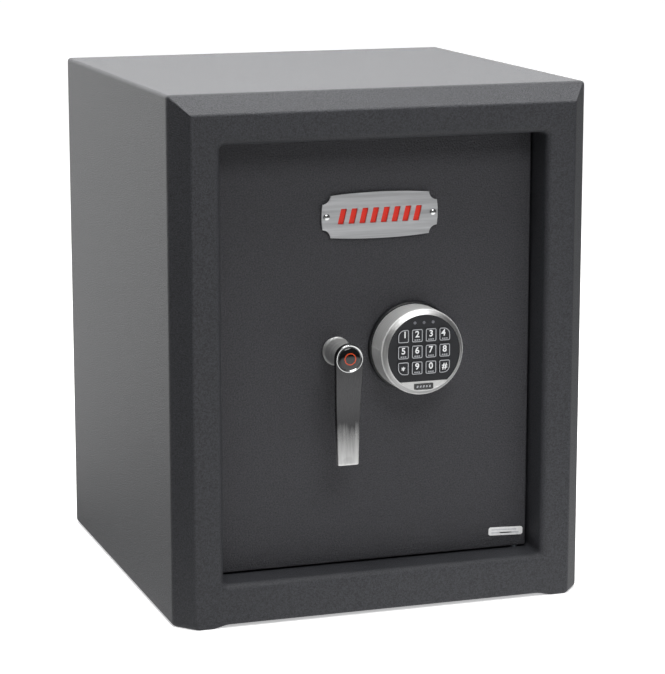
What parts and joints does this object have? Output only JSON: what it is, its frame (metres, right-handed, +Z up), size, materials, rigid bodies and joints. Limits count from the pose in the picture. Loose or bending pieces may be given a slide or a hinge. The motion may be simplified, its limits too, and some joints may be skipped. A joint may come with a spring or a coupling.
{
  "type": "safe",
  "caption": "Free-standing fire-resisting steel safe: bevelled front frame, recessed hinged door with code keypad, drop lever, rack-driven bolts and one shelf.",
  "frame": {"origin": "middle of the footprint of the whole object, lever included, at the floor it stands on", "axes": "+Z up, the door faces -Y, +X to the right seen from the front"},
  "size_m": [0.4, 0.4105, 0.485],
  "materials": {
    "body_powder_coat": "charcoal textured powder coat",
    "door_powder_coat": "dark charcoal textured powder coat, finer grain",
    "liner_paint": "smooth grey powder coat",
    "infill": "cast fire-resisting infill, rough",
    "zinc_steel": "bright zinc plating",
    "brushed_stainless": "brushed stainless sheet",
    "satin_steel": "satin plated casting",
    "polished_steel": "polished steel",
    "red_enamel": "glossy red enamel",
    "black_abs": "black moulded plastic",
    "keypad_rubber": "matt black silicone rubber",
    "circuit_board": "green solder mask",
    "battery_case": "wrapped battery can",
    "cable_sheath": "black cable sheath",
    "label_film": "white printed film",
    "mat_felt": "dark needle felt"
  },
  "bodies": {
    "cabinet": {"body_shell": "body_powder_coat", "back_panel": "body_powder_coat", "frame_top_rail": "body_powder_coat", "frame_sill": "body_powder_coat", "frame_stile_left": "body_powder_coat", "frame_stile_right": "body_powder_coat", "wall_infill": "infill", "liner_wrap": "liner_paint", "liner_back": "liner_paint", "pivot_pin_top": "zinc_steel", "pivot_pin_bottom": "zinc_steel", "shelf": "liner_paint", "shelf_support_left": "zinc_steel", "shelf_support_right": "zinc_steel", "floor_mat": "mat_felt", "anchor_plug": "black_abs"},
    "door": {"door_plate": "door_powder_coat", "door_pan": "liner_paint", "dog_bolt_lower": "zinc_steel", "dog_bolt_upper": "zinc_steel", "bolt_guide": "zinc_steel", "name_plate": "brushed_stainless", "name_plate_backing": "red_enamel", "name_plate_screw_left": "polished_steel", "name_plate_screw_right": "polished_steel", "rating_label": "label_film", "hard_plate": "zinc_steel", "lock_case": "zinc_steel", "keypad_cable": "cable_sheath", "spindle_bush": "zinc_steel", "keypad_base": "black_abs", "battery": "battery_case"},
    "handle": {"handle_lever": "satin_steel", "handle_cap": "black_abs", "handle_spindle": "zinc_steel", "pinion": "zinc_steel", "spindle_clip": "zinc_steel"},
    "side_bolts": {"side_bolt_carriage": "zinc_steel", "side_bolt_lower": "polished_steel", "side_bolt_middle": "polished_steel", "side_bolt_upper": "polished_steel"},
    "top_bolt": {"top_bolt_bar": "zinc_steel"},
    "bottom_bolt": {"bottom_bolt_bar": "zinc_steel"},
    "blocking_bolt": {"lock_bolt": "polished_steel"},
    "keypad": {"keypad_housing": "satin_steel", "keypad_face": "keypad_rubber", "circuit_board": "circuit_board"},
    "key_01": {"key_01": "keypad_rubber"},
    "key_02": {"key_02": "keypad_rubber"},
    "key_03": {"key_03": "keypad_rubber"},
    "key_04": {"key_04": "keypad_rubber"},
    "key_05": {"key_05": "keypad_rubber"},
    "key_06": {"key_06": "keypad_rubber"},
    "key_07": {"key_07": "keypad_rubber"},
    "key_08": {"key_08": "keypad_rubber"},
    "key_09": {"key_09": "keypad_rubber"},
    "key_10": {"key_10": "keypad_rubber"},
    "key_11": {"key_11": "keypad_rubber"},
    "key_12": {"key_12": "keypad_rubber"}
  },
  "joints": [
    {"name": "door_swing", "type": "hinge", "parent": "cabinet", "child": "door", "pos_m": [0.1431, -0.1574, 0.242], "axis": [0, 0, 1], "range_deg": [0, 95]},
    {"name": "handle_turn", "type": "hinge", "parent": "door", "child": "handle", "pos_m": [-0.0387, -0.1624, 0.244], "axis": [0, 1, 0], "range_deg": [0, 90]},
    {"name": "side_bolts_throw", "type": "slide", "parent": "door", "child": "side_bolts", "axis": [-1, 0, 0], "range_m": [0, 0.022]},
    {"name": "top_bolt_throw", "type": "slide", "parent": "door", "child": "top_bolt", "axis": [0, 0, 1], "range_m": [0, 0.022]},
    {"name": "bottom_bolt_throw", "type": "slide", "parent": "door", "child": "bottom_bolt", "axis": [0, 0, -1], "range_m": [0, 0.022]},
    {"name": "blocking_bolt_slide", "type": "slide", "parent": "door", "child": "blocking_bolt", "axis": [-1, 0, 0], "range_m": [0, 0.009]},
    {"name": "housing_pull", "type": "slide", "parent": "door", "child": "keypad", "axis": [0, -1, 0], "range_m": [0, 0.03]},
    {"name": "key_01_press", "type": "slide", "parent": "keypad", "child": "key_01", "axis": [0, 1, 0], "range_m": [0, 0.0008], "stiffness_N_per_m": 800, "springref_m": -0.0004},
    {"name": "key_02_press", "type": "slide", "parent": "keypad", "child": "key_02", "axis": [0, 1, 0], "range_m": [0, 0.0008], "stiffness_N_per_m": 800, "springref_m": -0.0004},
    {"name": "key_03_press", "type": "slide", "parent": "keypad", "child": "key_03", "axis": [0, 1, 0], "range_m": [0, 0.0008], "stiffness_N_per_m": 800, "springref_m": -0.0004},
    {"name": "key_04_press", "type": "slide", "parent": "keypad", "child": "key_04", "axis": [0, 1, 0], "range_m": [0, 0.0008], "stiffness_N_per_m": 800, "springref_m": -0.0004},
    {"name": "key_05_press", "type": "slide", "parent": "keypad", "child": "key_05", "axis": [0, 1, 0], "range_m": [0, 0.0008], "stiffness_N_per_m": 800, "springref_m": -0.0004},
    {"name": "key_06_press", "type": "slide", "parent": "keypad", "child": "key_06", "axis": [0, 1, 0], "range_m": [0, 0.0008], "stiffness_N_per_m": 800, "springref_m": -0.0004},
    {"name": "key_07_press", "type": "slide", "parent": "keypad", "child": "key_07", "axis": [0, 1, 0], "range_m": [0, 0.0008], "stiffness_N_per_m": 800, "springref_m": -0.0004},
    {"name": "key_08_press", "type": "slide", "parent": "keypad", "child": "key_08", "axis": [0, 1, 0], "range_m": [0, 0.0008], "stiffness_N_per_m": 800, "springref_m": -0.0004},
    {"name": "key_09_press", "type": "slide", "parent": "keypad", "child": "key_09", "axis": [0, 1, 0], "range_m": [0, 0.0008], "stiffness_N_per_m": 800, "springref_m": -0.0004},
    {"name": "key_10_press", "type": "slide", "parent": "keypad", "child": "key_10", "axis": [0, 1, 0], "range_m": [0, 0.0008], "stiffness_N_per_m": 800, "springref_m": -0.0004},
    {"name": "key_11_press", "type": "slide", "parent": "keypad", "child": "key_11", "axis": [0, 1, 0], "range_m": [0, 0.0008], "stiffness_N_per_m": 800, "springref_m": -0.0004},
    {"name": "key_12_press", "type": "slide", "parent": "keypad", "child": "key_12", "axis": [0, 1, 0], "range_m": [0, 0.0008], "stiffness_N_per_m": 800, "springref_m": -0.0004}
  ],
  "couplings": [
    {"joint": "side_bolts_throw", "follows": "handle_turn", "m_per_rad": 0.014},
    {"joint": "top_bolt_throw", "follows": "handle_turn", "m_per_rad": 0.014},
    {"joint": "bottom_bolt_throw", "follows": "handle_turn", "m_per_rad": 0.014}
  ]
}
